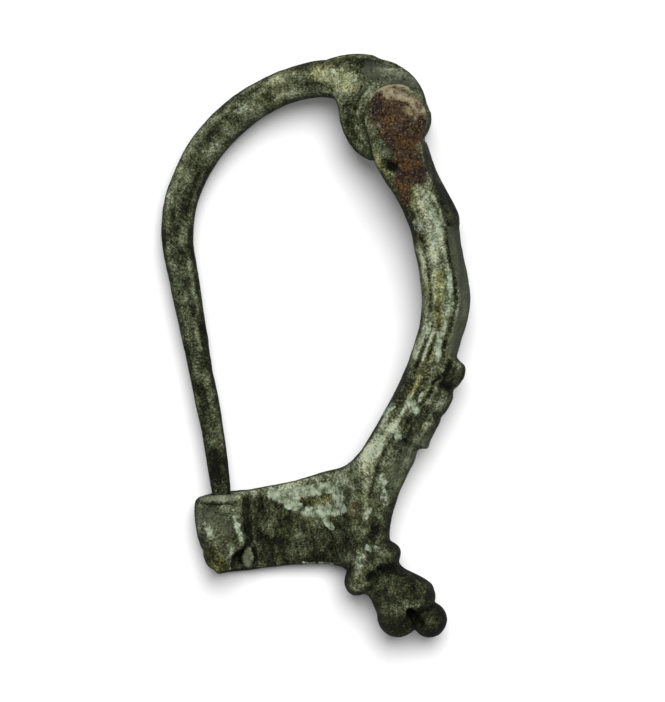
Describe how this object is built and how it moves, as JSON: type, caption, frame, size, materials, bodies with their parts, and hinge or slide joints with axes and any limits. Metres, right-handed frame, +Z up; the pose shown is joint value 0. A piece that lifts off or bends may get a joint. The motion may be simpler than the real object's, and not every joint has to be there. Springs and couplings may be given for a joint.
{
  "type": "roman fibula brooch",
  "caption": "Roman hinged bow brooch: an arched cast bow with hinge lugs, catchplate and knobbed foot, and a heavy curved pin that turns on an iron axle.",
  "frame": {"origin": "middle of the brooch's bounding box on the surface that it lies on", "axes": "+Y from the foot towards the hinge, +X from the pin towards the bow, +Z up from the surface that it lies on"},
  "size_m": [0.031, 0.0584, 0.0082],
  "materials": {
    "bronze_bow": "dark olive to grey-green patina with pale mint crust, rough",
    "bronze_pin": "dark olive patina, finely speckled, rough",
    "rusted_iron": "brown rust crust, matt"
  },
  "bodies": {
    "brooch": {"bow": "bronze_bow", "axle": "rusted_iron"},
    "pin": {"pin": "bronze_pin"}
  },
  "joints": [
    {"name": "pin_swing", "type": "hinge", "parent": "brooch", "child": "pin", "pos_m": [0.00816, 0.02294, 0.00384], "axis": [-0.0785, -0.0049, 0.9969], "range_deg": [0, 10]}
  ]
}
